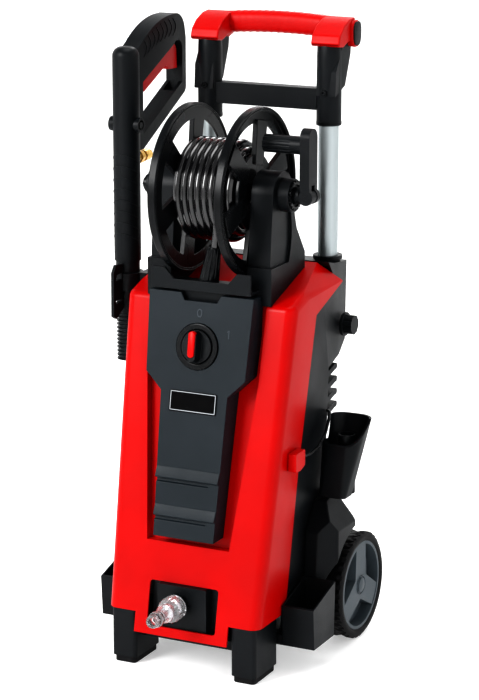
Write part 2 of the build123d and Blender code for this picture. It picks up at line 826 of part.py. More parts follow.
with BuildPart() as reel_drum:
    with BuildSketch(yz(-46.8)):
        with Locations((REEL_Y, REEL_Z)):
            Circle(DRUM_R)
            Circle(DRUM_R - 3, mode=Mode.SUBTRACT)
    extrude(amount=93.6)
    with BuildSketch(yz(-46.8)):
        with Locations((REEL_Y, REEL_Z)):
            Circle(DRUM_R - 2)
    extrude(amount=4)
    with BuildSketch(yz(42.8)):
        with Locations((REEL_Y, REEL_Z)):
            Circle(DRUM_R - 2)
    extrude(amount=4)
    # journals that run in the bearings
    with BuildSketch(yz(-112)):
        with Locations((REEL_Y, REEL_Z)):
            Circle(12)
    extrude(amount=232)
save(reel_drum, "reel_drum")

with BuildPart() as hose_wound:
    with BuildSketch(yz(-46.5)):
        with Locations((REEL_Y, REEL_Z)):
            Circle(WINDING_R)
            Circle(DRUM_R + 0.2, mode=Mode.SUBTRACT)
    extrude(amount=93)
save(hose_wound, "hose_wound")

with BuildPart() as crank_hub:
    with BuildSketch(yz(120.1)):
        with Locations((REEL_Y, REEL_Z)):
            Circle(12)
    extrude(amount=4.5)
    with BuildSketch(yz(124)):
        with Locations((REEL_Y, REEL_Z)):
            Rectangle(9.4, 20)
    extrude(amount=13)
    with BuildSketch(xz(REEL_Y + 4.7)):
        with Locations((CRANK_PIVOT_X, REEL_Z)):
            Circle(10)
    extrude(amount=9.4)
    with BuildSketch(xz(REEL_Y + 14)):
        with Locations((CRANK_PIVOT_X, REEL_Z)):
            Circle(3)
    extrude(amount=28)
save(crank_hub, "crank_hub")

with BuildPart() as crank_arm:
    with BuildSketch(xz(REEL_Y + 14)):
        with Locations((CRANK_PIVOT_X, REEL_Z)):
            Circle(11)
    extrude(amount=28)
    with BuildSketch(yz(128)):
        with Locations((REEL_Y, 746)):
            SlotOverall(100, 28, rotation=90)
    extrude(amount=15)
    # fork around the hub's tongue
    with BuildSketch(xz(REEL_Y + 5)):
        with Locations((CRANK_PIVOT_X - 10, REEL_Z)):
            Rectangle(46, 34)
    extrude(amount=10, mode=Mode.SUBTRACT)
    with BuildSketch(xz(REEL_Y + 15)):
        with Locations((CRANK_PIVOT_X, REEL_Z)):
            Circle(3.04)
    extrude(amount=30, mode=Mode.SUBTRACT)
    # spindle of the grip
    with BuildSketch(yz(72)):
        with Locations((REEL_Y, CRANK_GRIP_Z)):
            Circle(5)
    extrude(amount=58)
save(crank_arm, "crank_arm")

with BuildPart() as crank_grip:
    with BuildSketch(yz(68)):
        with Locations((REEL_Y, CRANK_GRIP_Z)):
            Circle(13)
    extrude(amount=59.5)
    with BuildSketch(yz(67)):
        with Locations((REEL_Y, CRANK_GRIP_Z)):
            with PolarLocations(14.6, 12):
                Circle(2.6)
    extrude(amount=44, mode=Mode.SUBTRACT)
    with BuildSketch(yz(70)):
        with Locations((REEL_Y, CRANK_GRIP_Z)):
            Circle(5.05)
    extrude(amount=60, mode=Mode.SUBTRACT)
save(crank_grip, "crank_grip")

# ======================= hose end =======================
TAIL_POINTS = [(27, -61.8, 655), (22.5, -58.6, 638), (16.8, -53.7, 620.3)]
CONNECTOR_TOP = Vector(16.5, -53.5, 619.2)
CONNECTOR_FOOT = Vector(2.5, -44, 567.4)
TAIL_RADIUS = 90.0

with BuildPart() as hose_tail:
    with BuildLine() as tail_path:
        FilletPolyline(*TAIL_POINTS, radius=TAIL_RADIUS)
    with BuildSketch(Plane(origin=tail_path.line @ 0, z_dir=tail_path.line % 0)):
        Circle(HOSE_D / 2)
    sweep()
save(hose_tail, "hose_tail")

connector_axis = (CONNECTOR_FOOT - CONNECTOR_TOP).normalized()
connector_length = (CONNECTOR_FOOT - CONNECTOR_TOP).length
with BuildPart() as hose_connector:
    with BuildSketch(Plane(origin=CONNECTOR_TOP, z_dir=connector_axis)):
        Circle(9.5)
    with BuildSketch(Plane(origin=CONNECTOR_TOP + connector_axis * (connector_length - 3), z_dir=connector_axis)):
        Circle(11.5)
    loft()
save(hose_connector, "hose_connector")

with BuildPart() as reel_swivel:
    with BuildSketch(yz(-124)):
        with Locations((REEL_Y, REEL_Z)):
            Circle(13)
    extrude(amount=9.2)
    with BuildSketch(yz(-128)):
        with Locations((REEL_Y, REEL_Z)):
            RegularPolygon(9, 6)
    extrude(amount=4)
save(reel_swivel, "reel_swivel")

# ======================= spray gun =======================
TRIGGER_PIVOT = (66.0, 828.0)
LOCK_CENTRE = (187.0, 899.0)
gun_mid = Plane.YZ.offset(GUN_X - GUN_HALF)
with BuildPart() as gun_grip:
    # grip, guard and the web to the barrel
    with BuildSketch(gun_mid):
        with BuildLine():
            Line((40, 738), (40, 886))
            Line((40, 886), (58, 896))
            ThreePointArc((58, 896), (106, 921), (160, 929))
            ThreePointArc((160, 929), (183, 923), (193, 908))
            Line((193, 908), (197, 890))
            Line((197, 890), (197, 818))
            ThreePointArc((197, 818), (195.5, 811), (190, 806))
            Line((190, 806), (60, 738))
            Line((60, 738), (40, 738))
        make_face()
        with BuildLine():
            Line((60, 760), (60, 838))
            Line((60, 838), (160, 884))
            ThreePointArc((160, 884), (178, 887), (185, 876))
            Line((185, 876), (185, 824))
            Line((185, 824), (60, 760))
        make_face(mode=Mode.SUBTRACT)
    extrude(amount=2 * GUN_HALF)

with BuildPart() as gun_barrel:
    with BuildSketch(Plane.XY.offset(SHOULDER_LOW_Z)):
        with Locations((GUN_X, GUN_Y)):
            Circle(BARREL_R)
    extrude(amount=BARREL_TOP_Z - SHOULDER_LOW_Z)
    fillet(gun_barrel.edges().sort_by(Axis.Z)[-1], radius=14)
    with BuildSketch(Plane.XY.offset(BARREL_LOW_Z)):
        with Locations((GUN_X, GUN_Y)):
            Circle(MUZZLE_R)
    extrude(amount=SHOULDER_LOW_Z - BARREL_LOW_Z)

with BuildPart() as gun_body:
    add(gun_grip.part)
    add(gun_barrel.part)
    # screw bosses on both flanks
    with BuildSketch(Plane.YZ.offset(GUN_X - 25)):
        with Locations((GUN_Y, 778)):
            Circle(11)
    extrude(amount=50)
    # slot for the trigger
    with BuildSketch(Plane.YZ.offset(GUN_X - 8.3)):
        Polygon((59.6, 812), (59.6, 850), (172, 908), (184.6, 906), (184.6, 812), align=None)
    extrude(amount=16.6, mode=Mode.SUBTRACT)
    with BuildSketch(Plane.YZ.offset(GUN_X - 8.3)):
        with Locations(TRIGGER_PIVOT):
            Circle(7.3)
    extrude(amount=16.6, mode=Mode.SUBTRACT)
    # seat of the safety catch
    with BuildSketch(Plane.YZ.offset(GUN_X - 6.3)):
        with Locations(LOCK_CENTRE):
            Circle(9.3)
        Polygon((187, 880), (210, 880), (210, 912), (187, 912), align=None)
    extrude(amount=12.6, mode=Mode.SUBTRACT)
    # water way and nipple seat
    with BuildSketch(Plane.XY.offset(BARREL_LOW_Z)):
        with Locations((GUN_X, GUN_Y)):
            Circle(6)
    extrude(amount=360, mode=Mode.SUBTRACT)
    with BuildSketch(xz(GUN_Y)):
        with Locations((GUN_X, 724)):
            Circle(7.5)
    extrude(amount=-40, mode=Mode.SUBTRACT)

with BuildPart() as gun_shell_left:
    add(gun_body.part)
    split(bisect_by=Plane.YZ.offset(GUN_X - 0.05), keep=Keep.BOTTOM)
save(gun_shell_left, "gun_shell_left")

with BuildPart() as gun_shell_right:
    add(gun_body.part)
    split(bisect_by=Plane.YZ.offset(GUN_X + 0.05), keep=Keep.TOP)
save(gun_shell_right, "gun_shell_right")

with BuildPart() as gun_nipple:
    with BuildSketch(xz(GUN_Y + 12)):
        with Locations((GUN_X, 724)):
            Circle(7.4)
    extrude(amount=-56)
    with BuildSketch(xz(GUN_Y + 34)):
        with Locations((GUN_X, 724)):
            RegularPolygon(10, 6)
    extrude(amount=-9)
    with BuildSketch(xz(GUN_Y + 48)):
        with Locations((GUN_X, 724)):
            Circle(9)
            Circle(7.3, mode=Mode.SUBTRACT)
    extrude(amount=-14)
    with BuildSketch(xz(GUN_Y + 20)):
        with Locations((GUN_X, 724)):
            Circle(3.5)
    extrude(amount=-60, mode=Mode.SUBTRACT)
save(gun_nipple, "gun_nipple")

with BuildPart() as trigger:
    with BuildSketch(Plane.YZ.offset(GUN_X - 7.5)):
        with BuildLine():
            Line((66, 821), (76, 822))
            Line((76, 822), (140, 851))
            ThreePointArc((140, 851), (147, 852), (152, 846))
            Line((152, 846), (180, 845))
            Line((180, 845), (178, 874))
            ThreePointArc((178, 874), (168, 884), (156, 882))
            Line((156, 882), (63, 837))
            Line((63, 837), (66, 821))
        make_face()
    extrude(amount=15)
    with BuildSketch(Plane.YZ.offset(GUN_X - 7.5)):
        with Locations(TRIGGER_PIVOT):
            Circle(6.9)
    extrude(amount=15)
save(trigger, "trigger")

with BuildPart() as trigger_lock:
    with BuildSketch(Plane.YZ.offset(GUN_X - 6)):
        with Locations(LOCK_CENTRE):
            Circle(9)
        Polygon((187, 890.2), (199, 884), (202, 892), (199, 906), (187, 907.8), align=None)
    extrude(amount=12)
save(trigger_lock, "trigger_lock")

with BuildPart() as muzzle_sleeve:
    with BuildSketch(Plane.XY.offset(421)):
        with Locations((GUN_X, GUN_Y)):
            Circle(14.5)
    extrude(amount=73.8)
    for rib in range(13):
        with BuildSketch(Plane.XY.offset(422 + rib * 5.9)):
            with Locations((GUN_X, GUN_Y)):
                Circle(17.8)
        extrude(amount=1.6)
    with BuildSketch(Plane.XY.offset(421)):
        with Locations((GUN_X, GUN_Y)):
            Circle(8)
    extrude(amount=80, mode=Mode.SUBTRACT)
save(muzzle_sleeve, "muzzle_sleeve")

with BuildPart() as gun_holder:
    # split ring round the muzzle
    with BuildSketch(Plane.XY.offset(530)):
        with Locations((GUN_X, GUN_Y)):
            Circle(23)
            Circle(MUZZLE_R + 0.4, mode=Mode.SUBTRACT)
    extrude(amount=27)
    # front fin with two windows
    with BuildSketch(Plane.YZ.offset(GUN_X - 2)):
        with BuildLine():
            Polyline((13, 530), (13, 571), (-8, 573), (-16, 562), (-17, 496), (-8, 491), (13, 504), (13, 530))
        make_face()
        Polygon((-10, 549), (8, 549), (8, 558), (-6, 558), align=None, mode=Mode.SUBTRACT)
        Polygon((-10, 514), (8, 516), (8, 519), (-10, 519), align=None, mode=Mode.SUBTRACT)
    extrude(amount=5)
    # arm to the housing
    with BuildSketch(Plane.YZ.offset(-152)):
        Polygon((28, 530), (28, 557), (84, 557), (84, 522), (60, 522), align=None)
    extrude(amount=14)
    with BuildSketch(Plane.XY.offset(500)):
        with Locations((GUN_X, GUN_Y)):
            Circle(MUZZLE_R + 0.4)
    extrude(amount=90, mode=Mode.SUBTRACT)
save(gun_holder, "gun_holder")

# ======================= accessory holder, strap and hooks =======================
CUP_TOP_Z, CUP_LOW_Z = 356.0, 238.0
with BuildPart() as accessory_cup:
    with BuildSketch(Plane.XY.offset(CUP_LOW_Z)):
        with Locations((152, 76)):
            RectangleRounded(44, 34, 8)
    with BuildSketch(Plane.XY.offset(CUP_TOP_Z)):
        with Locations((162.5, 97)):
            RectangleRounded(71, 56, 26)
    loft()
    with BuildSketch(Plane.XY.offset(CUP_LOW_Z + 4)):
        with Locations((152, 76)):
            RectangleRounded(38, 28, 6)
    with BuildSketch(Plane.XY.offset(CUP_TOP_Z + 2)):
        with Locations((162.5, 97)):
            RectangleRounded(65, 50, 23)
    loft(mode=Mode.SUBTRACT)
    # two round sockets
    for (x, y), radius, top in (((146, 78), 12, 312), ((163, 92), 13, 330)):
        with BuildSketch(Plane.XY.offset(CUP_LOW_Z + 2)):
            with Locations((x, y)):
                Circle(radius)
        extrude(amount=top - CUP_LOW_Z - 2)
    for (x, y), radius in (((146, 78), 9), ((163, 92), 10.5)):
        with BuildSketch(Plane.XY.offset(CUP_LOW_Z + 60)):
            with Locations((x, y)):
                Circle(radius)
        extrude(amount=60, mode=Mode.SUBTRACT)
    # the rim drops towards the front
    with BuildSketch(Plane.YZ.offset(110)):
        Polygon((40, 300), (68, 318), (104, 354), (140, 354), (140, 400), (40, 400), align=None)
    extrude(amount=100, mode=Mode.SUBTRACT)
    # the outer wall leans out with the loft, the inner wall stands on the cover
    with BuildSketch(Plane.XY.offset(200)):
        Polygon((100, 40), (100, 140), (131, 140), (131, 40), align=None)
    extrude(amount=200, mode=Mode.SUBTRACT)
save(accessory_cup, "accessory_cup")

STRAP_POINTS = [
    (139, -13.5, 320),
    (142, 8, 318),
    (144, 34, 323),
    (145, 54, 338),
    (145, 66, 356),
    (140, 80, 364),
    (131, 92, 362),
]
STRAP_RADII = [30, 28, 22, 16, 10]
with BuildPart() as strap:
    with BuildLine() as strap_path:
        FilletPolyline(*STRAP_POINTS, radius=STRAP_RADII)
    with BuildSketch(Plane(origin=strap_path.line @ 0, z_dir=strap_path.line % 0)):
        Circle(2.3)
    sweep()
save(strap, "strap")

with BuildPart() as strap_hook:
    with BuildSketch(Plane.YZ.offset(131.4)):
        Polygon((-46, 304), (-46, 331), (-14.2, 332), (-14.2, 308), (-30, 303), align=None)
    extrude(amount=13)
    fillet(strap_hook.edges().filter_by(Axis.X), radius=2.5)
save(strap_hook, "strap_hook")

with BuildPart() as cable_hooks:
    for hook_z, lift in ((392, 1), (258, -1)):
        with BuildSketch(Plane.YZ.offset(-13)):
            with BuildLine():
                Polyline(
                    (100.2, hook_z - 16),
                    (100.2, hook_z + 16),
                    (106, hook_z + 16),
                    (107, hook_z + 6),
                    (150, hook_z + 6),
                    (152, hook_z + lift * 34),
                    (160, hook_z + lift * 34),
                    (160, hook_z - 6),
                    (107, hook_z - 6),
                    (106, hook_z - 16),
                    (100.2, hook_z - 16),
                ) if lift > 0 else Polyline(
                    (100.2, hook_z - 16),
                    (100.2, hook_z + 16),
                    (106, hook_z + 16),
                    (107, hook_z + 6),
                    (160, hook_z + 6),
                    (160, hook_z - 34),
                    (152, hook_z - 34),
                    (150, hook_z - 6),
                    (107, hook_z - 6),
                    (106, hook_z - 16),
                    (100.2, hook_z - 16),
                )
            make_face()
        extrude(amount=26)
save(cable_hooks, "cable_hooks")

with BuildPart() as cable_gland:
    with BuildSketch(xz(98.2)):
        with Locations((70, 170)):
            Circle(11)
    extrude(amount=-8)
    with BuildSketch(xz(106)):
        with Locations((70, 170)):
            Circle(8)
    extrude(amount=-22, taper=6)
    with BuildSketch(xz(98)):
        with Locations((70, 170)):
            Circle(4)
    extrude(amount=-40, mode=Mode.SUBTRACT)
save(cable_gland, "cable_gland")

with BuildPart() as cover_screws:
    for x in (-88, 88):
        for z in (132, 232, 330):
            with BuildSketch(xz(98.2)):
                with Locations((x, z)):
                    Circle(5)
            extrude(amount=-2.6)
            with BuildSketch(xz(99.6)):
                with Locations((x, z)):
                    RegularPolygon(2.4, 6)
            extrude(amount=-4, mode=Mode.SUBTRACT)
save(cover_screws, "cover_screws")

# ======================= motor and pump =======================
with BuildPart() as motor_housing:
    with BuildSketch(Plane.XY.offset(305)):
        with Locations((0, DRIVE_Y)):
            Circle(56)
    extrude(amount=155)
    with BuildSketch(Plane.XY.offset(318)):
        with Locations((0, DRIVE_Y)):
            Circle(37)
    extrude(amount=130, mode=Mode.SUBTRACT)
    with BuildSketch(Plane.XY.offset(300)):
        with Locations((0, DRIVE_Y)):
            Circle(8.05)
    extrude(amount=200, mode=Mode.SUBTRACT)
    with BuildSketch(Plane.XY.offset(330)):
        with Locations((0, DRIVE_Y)):
            with PolarLocations(58, 24):
                Rectangle(8, 5)
    extrude(amount=105, mode=Mode.SUBTRACT)
save(motor_housing, "motor_housing")

with BuildPart() as motor_rotor:
    with BuildSketch(Plane.XY.offset(264)):
        with Locations((0, DRIVE_Y)):
            Circle(8)
    extrude(amount=222)
    with BuildSketch(Plane.XY.offset(324)):
        with Locations((0, DRIVE_Y)):
            Circle(36)
    extrude(amount=118)
    with BuildSketch(Plane.XY.offset(470)):
        with Locations((0, DRIVE_Y)):
            Circle(46)
    extrude(amount=2)
    for blade in range(9):
        with BuildSketch(Plane.XY.offset(472)):
            with Locations(Location((0, DRIVE_Y), 40 * blade)):
                with Locations((28, 0)):
                    Rectangle(34, 1.6)
        extrude(amount=12)
save(motor_rotor, "motor_rotor")

with BuildPart() as swash_plate:
    with BuildSketch(Plane.YZ.offset(-30)):
        Polygon((-2, 263.8), (58, 263.8), (58, 250), (-2, 256), align=None)
    extrude(amount=60)
    with BuildSketch(Plane.XY.offset(240)):
        with Locations((0, DRIVE_Y)):
            Circle(29)
    extrude(amount=30, mode=Mode.INTERSECT)
save(swash_plate, "swash_plate")

with BuildPart() as pump_body:
    with BuildSketch(Plane.XY.offset(170)):
        with Locations((0, DRIVE_Y)):
            Circle(44)
    extrude(amount=134.7)
    with BuildSketch(Plane.XY.offset(215)):
        with Locations((0, DRIVE_Y)):
            Circle(34)
    extrude(amount=120, mode=Mode.SUBTRACT)
    with BuildSketch(Plane.XY.offset(160)):
        with Locations((0, DRIVE_Y)):
            with PolarLocations(21, 3):
                Circle(7.05)
    extrude(amount=80, mode=Mode.SUBTRACT)
save(pump_body, "pump_body")

with BuildPart() as pump_pistons:
    with BuildSketch(Plane.XY.offset(176)):
        with Locations((0, DRIVE_Y)):
            with PolarLocations(21, 3):
                Circle(7)
    extrude(amount=72)
save(pump_pistons, "pump_pistons")

with BuildPart() as pump_head:
    with BuildSketch(Plane.XY.offset(86)):
        with Locations((0, DRIVE_Y)):
            RectangleRounded(84, 84, 12)
    extrude(amount=83.8)
    with BuildSketch(Plane.XY.offset(61.2)):
        with Locations((0, DRIVE_Y)):
            Rectangle(60, 50)
    extrude(amount=26)
save(pump_head, "pump_head")

with BuildPart() as water_pipes:
    with BuildSketch(xz(-79.8)):
        with Locations((INLET_X, INLET_Z)):
            Circle(9)
    extrude(amount=-65.6)
    with BuildLine() as riser:
        FilletPolyline(
            (-42.2, DRIVE_Y, 130), (PIPE_X, DRIVE_Y, 130), (PIPE_X, DRIVE_Y, 584), radius=22
        )
    with BuildSketch(Plane(origin=riser.line @ 0, z_dir=riser.line % 0)):
        Circle(PIPE_R)
    sweep(path=riser.line)
save(water_pipes, "water_pipes")
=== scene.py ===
"""Looks of the upright pressure washer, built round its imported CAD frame. Metres, same frame as the CAD."""

import json
import math

import bmesh
import bpy
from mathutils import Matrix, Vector


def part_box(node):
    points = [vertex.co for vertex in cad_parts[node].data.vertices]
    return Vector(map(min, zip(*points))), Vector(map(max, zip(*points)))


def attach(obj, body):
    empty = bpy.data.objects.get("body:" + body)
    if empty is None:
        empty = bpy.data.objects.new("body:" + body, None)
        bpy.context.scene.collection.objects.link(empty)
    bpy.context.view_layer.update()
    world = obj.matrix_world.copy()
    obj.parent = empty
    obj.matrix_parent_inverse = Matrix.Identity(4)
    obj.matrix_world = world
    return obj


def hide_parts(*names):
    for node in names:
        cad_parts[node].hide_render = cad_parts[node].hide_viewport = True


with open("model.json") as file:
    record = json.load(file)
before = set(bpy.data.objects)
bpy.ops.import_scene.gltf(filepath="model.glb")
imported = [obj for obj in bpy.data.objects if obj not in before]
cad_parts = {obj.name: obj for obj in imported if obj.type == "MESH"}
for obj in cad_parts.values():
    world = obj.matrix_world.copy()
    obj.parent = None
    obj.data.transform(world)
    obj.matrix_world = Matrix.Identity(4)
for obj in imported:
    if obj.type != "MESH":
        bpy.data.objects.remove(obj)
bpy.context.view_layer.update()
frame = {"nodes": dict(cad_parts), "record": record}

MM = 0.001


def mm(*values):
    """A point given in millimetres, as a vector in metres."""
    return Vector(values) * MM


# ---- places that the pieces share ----
# sign of x and name
SIDES = ((-1, "left"), (1, "right"))
REEL_AXIS = mm(0, 9, 698)
WHEEL_AXIS = mm(0, 132, 82)
INLET_AXIS = mm(-4, 0, 107)
HOSE_D = 12.4 * MM
CONSOLE_SLOPE = 0.174
CONSOLE_FOOT_Y, CONSOLE_FOOT_Z = -123, 205
CONSOLE_NORMAL = Vector((0, -1, CONSOLE_SLOPE)).normalized()
DIAL_Z = 486
GRIP_Y = 197
GUN_X, GUN_Y = -172, 33


def console_point(x, z, lift=0.0):
    """A point on the console's face, x and z in millimetres, raised by lift along its normal."""
    y = CONSOLE_FOOT_Y + CONSOLE_SLOPE * (z - CONSOLE_FOOT_Z)
    return mm(x, y, z) + CONSOLE_NORMAL * lift * MM


def make_camera():
    """Long lens from the front right and a little above."""
    azimuth, elevation, distance = math.radians(26.31), math.radians(13.94), 3.62717
    target = mm(0, 67, 450)
    backwards = Vector(
        (
            math.sin(azimuth) * math.cos(elevation),
            -math.cos(azimuth) * math.cos(elevation),
            math.sin(elevation),
        )
    )
    data = bpy.data.cameras.new("camera")
    data.lens = 125.07
    data.sensor_width = 36
    data.shift_x = -0.0021
    data.shift_y = -0.0041
    data.clip_end = 50
    camera = bpy.data.objects.new("camera", data)
    bpy.context.scene.collection.objects.link(camera)
    camera.location = target + backwards * distance
    camera.rotation_euler = (-backwards).to_track_quat("-Z", "Y").to_euler()
    bpy.context.scene.camera = camera


make_camera()


# ======================= materials =======================
# most of a noise texture's values lie between these two
NOISE_LOW, NOISE_HIGH = 0.3, 0.7


def new_material(name, colour, roughness, metallic=0.0):
    """Principled material with its plain values set on the shader."""
    material = bpy.data.materials.new(name)
    material.use_nodes = True
    shader = material.node_tree.nodes["Principled BSDF"]
    shader.inputs["Base Color"].default_value = (*colour, 1)
    shader.inputs["Roughness"].default_value = roughness
    shader.inputs["Metallic"].default_value = metallic
    return material, shader


def node(material, kind, **values):
    """Adds a shader node and sets the plain values of its inputs."""
    made = material.node_tree.nodes.new(kind)
    for key, value in values.items():
        made.inputs[key].default_value = value
    return made


def link(material, output, target):
    material.node_tree.links.new(output, target)


def object_point(material):
    """Object coordinates, so that the texture moves with its piece."""
    return node(material, "ShaderNodeTexCoord").outputs["Object"]


def noise(material, scale, detail=2.0, roughness=0.5):
    """Noise value at the piece's own coordinates."""
    made = node(material, "ShaderNodeTexNoise", Scale=scale, Detail=detail, Roughness=roughness)
    link(material, object_point(material), made.inputs["Vector"])
    return made.outputs["Fac"]


def vary_roughness(material, shader, value, low, high):
    """Lets a noise value move the roughness between low and high."""
    made = node(material, "ShaderNodeMapRange")
    made.inputs["From Min"].default_value = NOISE_LOW
    made.inputs["From Max"].default_value = NOISE_HIGH
    made.inputs["To Min"].default_value = low
    made.inputs["To Max"].default_value = high
    link(material, value, made.inputs["Value"])
    link(material, made.outputs["Result"], shader.inputs["Roughness"])


def bump(material, shader, height, strength, distance, below=None):
    """Bumps the surface by a height value, on top of the bump given as below."""
    made = node(material, "ShaderNodeBump", Strength=strength, Distance=distance)
    link(material, height, made.inputs["Height"])
    if below is not None:
        link(material, below, made.inputs["Normal"])
    link(material, made.outputs["Normal"], shader.inputs["Normal"])
    return made.outputs["Normal"]


def tint(material, shader, dark, light, scale):
    """Slow colour variation between two shades."""
    ramp = node(material, "ShaderNodeValToRGB")
    for element, position, colour in zip(ramp.color_ramp.elements, (NOISE_LOW, NOISE_HIGH), (dark, light)):
        element.position = position
        element.color = (*colour, 1)
    link(material, noise(material, scale, 3.0), ramp.inputs["Fac"])
    link(material, ramp.outputs["Color"], shader.inputs["Base Color"])


def moulded(name, dark, light, rough, grain=900, strength=0.25, coat=0.0, shine=0.17):
    """Moulded plastic: fine spark-eroded grain, slow shade variation and uneven gloss."""
    shade_scale, gloss_scale, wave_scale = 9.0, 14.0, 30.0
    wave_depth, grain_depth = 2 * MM, 0.25 * MM
    material, shader = new_material(name, light, rough[1])
    tint(material, shader, dark, light, shade_scale)
    vary_roughness(material, shader, noise(material, gloss_scale, 4.0), *rough)
    waves = bump(material, shader, noise(material, wave_scale), 0.05, wave_depth)
    bump(material, shader, noise(material, grain, 3.0, 0.6), strength, grain_depth, below=waves)
    shader.inputs["Specular IOR Level"].default_value = shine
    shader.inputs["Coat Weight"].default_value = coat
    shader.inputs["Coat Roughness"].default_value = 0.12
    return material


RED = moulded("red_plastic", (0.36, 0, 0), (0.43, 0, 0), (0.3, 0.4), grain=700, strength=0.05, coat=0.03,
              shine=0.12)
RED_TRIM = moulded("red_trim", (0.40, 0, 0), (0.48, 0, 0), (0.3, 0.38), strength=0.1, shine=0.15)
GRIP_RED = moulded("red_grip", (0.36, 0, 0), (0.43, 0, 0), (0.34, 0.46), grain=1500, strength=0.35,
                   shine=0.15)
BLACK = moulded("black_plastic", (0.0035, 0.0045, 0.0055), (0.006, 0.0075, 0.009), (0.36, 0.5), grain=1100,
                strength=0.3)
BLACK_SMOOTH = moulded("black_smooth", (0.003, 0.0035, 0.004), (0.005, 0.006, 0.007), (0.22, 0.34),
                       strength=0.1)
CONSOLE = moulded("console_plastic", (0.010, 0.0145, 0.018), (0.014, 0.019, 0.0235), (0.4, 0.52),
                  grain=1300, strength=0.35)
RIM = moulded("rim_plastic", (0.055, 0.068, 0.078), (0.075, 0.090, 0.102), (0.38, 0.5), grain=1000)
RUBBER = moulded("rubber", (0.004, 0.004, 0.0045), (0.007, 0.007, 0.008), (0.55, 0.72), grain=500,
                 strength=0.4)
TYRE = moulded("tyre_rubber", (0.004, 0.004, 0.0045), (0.008, 0.008, 0.009), (0.5, 0.7), grain=420,
               strength=0.45)
HOSE = moulded("hose_skin", (0.003, 0.003, 0.0035), (0.005, 0.005, 0.006), (0.14, 0.22), grain=300,
               strength=0.05, coat=0.6, shine=0.5)
BADGE = moulded("badge_gloss", (0.001, 0.001, 0.0012), (0.002, 0.002, 0.0022), (0.12, 0.2), strength=0.02,
                shine=0.1)
PALE = moulded("pale_print", (0.3, 0.32, 0.34), (0.4, 0.42, 0.44), (0.4, 0.5), strength=0.05)
MARK = moulded("embossed_mark", (0.035, 0.045, 0.053), (0.05, 0.06, 0.07), (0.3, 0.4), strength=0.05)
MOTOR = moulded("motor_paint", (0.03, 0.03, 0.032), (0.05, 0.05, 0.053), (0.45, 0.6), grain=300,
                strength=0.5)
PUMP = moulded("pump_casting", (0.28, 0.28, 0.28), (0.42, 0.42, 0.42), (0.4, 0.6), grain=400, strength=0.5)


def tube_aluminium():
    """Satin anodised tube with fine drawing lines along Z."""
    material, shader = new_material("aluminium", (0.42, 0.46, 0.47), 0.4, 1.0)
    stretch = node(material, "ShaderNodeMapping", Scale=(1400, 1400, 6))
    link(material, object_point(material), stretch.inputs["Vector"])
    lines = node(material, "ShaderNodeTexNoise", Scale=1.0, Detail=2.0)
    link(material, stretch.outputs["Vector"], lines.inputs["Vector"])
    vary_roughness(material, shader, lines.outputs["Fac"], 0.38, 0.52)
    bump(material, shader, lines.outputs["Fac"], 0.08, 0.1 * MM)
    return material


def turned_metal(name, dark, light, rough):
    """Machined metal with tool marks and slight tarnish."""
    material, shader = new_material(name, light, rough, 1.0)
    tint(material, shader, dark, light, 40.0)
    vary_roughness(material, shader, noise(material, 120.0), rough * 0.7, rough * 1.4)
    bump(material, shader, noise(material, 900.0), 0.1, 0.1 * MM)
    return material


def clear_plastic():
    """Clear plastic with faint flow marks."""
    material, shader = new_material("clear_plastic", (0.9, 0.92, 0.93), 0.06)
    shader.inputs["Transmission Weight"].default_value = 0.9
    shader.inputs["IOR"].default_value = 1.49
    vary_roughness(material, shader, noise(material, 80.0), 0.03, 0.12)
    bump(material, shader, noise(material, 90.0), 0.15, MM)
    return material


ALUMINIUM = tube_aluminium()
BRASS = turned_metal("brass", (0.5, 0.3, 0.08), (0.72, 0.48, 0.15), 0.28)
STEEL = turned_metal("steel", (0.35, 0.35, 0.36), (0.55, 0.55, 0.56), 0.35)
SILVER = turned_metal("silver", (0.6, 0.6, 0.62), (0.8, 0.8, 0.82), 0.2)
CLEAR = clear_plastic()

SLOT_MATERIALS = {
    "red_plastic": RED,
    "black_plastic": BLACK,
    "console_plastic": CONSOLE,
    "badge": BADGE,
    "rubber": RUBBER,
    "tyre_rubber": TYRE,
    "rim_plastic": RIM,
    "hose": HOSE,
    "aluminium": ALUMINIUM,
    "steel": STEEL,
    "brass": BRASS,
    "clear_plastic": CLEAR,
    "motor_iron": MOTOR,
    "pump_metal": PUMP,
}
# nodes that look different from the rest of their slot
NODE_MATERIALS = {
    "trigger": RED_TRIM,
    "strap_hook": RED_TRIM,
    "strap": BLACK_SMOOTH,
    "switch_bezel": BLACK_SMOOTH,
    "reel_flange_left": BLACK_SMOOTH,
    "reel_flange_right": BLACK_SMOOTH,
    "inlet_port": BLACK_SMOOTH,
    "handle_screws": BLACK_SMOOTH,
    "reel_swivel": BLACK_SMOOTH,
}


# ======================= softened CAD edges =======================
# width of the rounded edges in millimetres
COMMON_BEVEL = 1.0
BEVELS = {
    "front_shell": 1.6,
    "front_console": 2.2,
    "base_frame": 3.0,
    "rear_cover": 2.5,
    "reel_frame": 3.0,
    "handle_cheeks": 4.0,
    "gun_shell_left": 3.0,
    "gun_shell_right": 3.0,
    "wheel_arches": 3.0,
    "crank_arm": 3.0,
    "crank_grip": 0.8,
    "inlet_plate": 1.5,
    "muzzle_sleeve": 0.5,
    "strap": 0,
    "handle_tubes": 0.5,
    "handle_brace": 3.0,
    "trigger": 2.5,
    "badge_plate": 0.4,
}


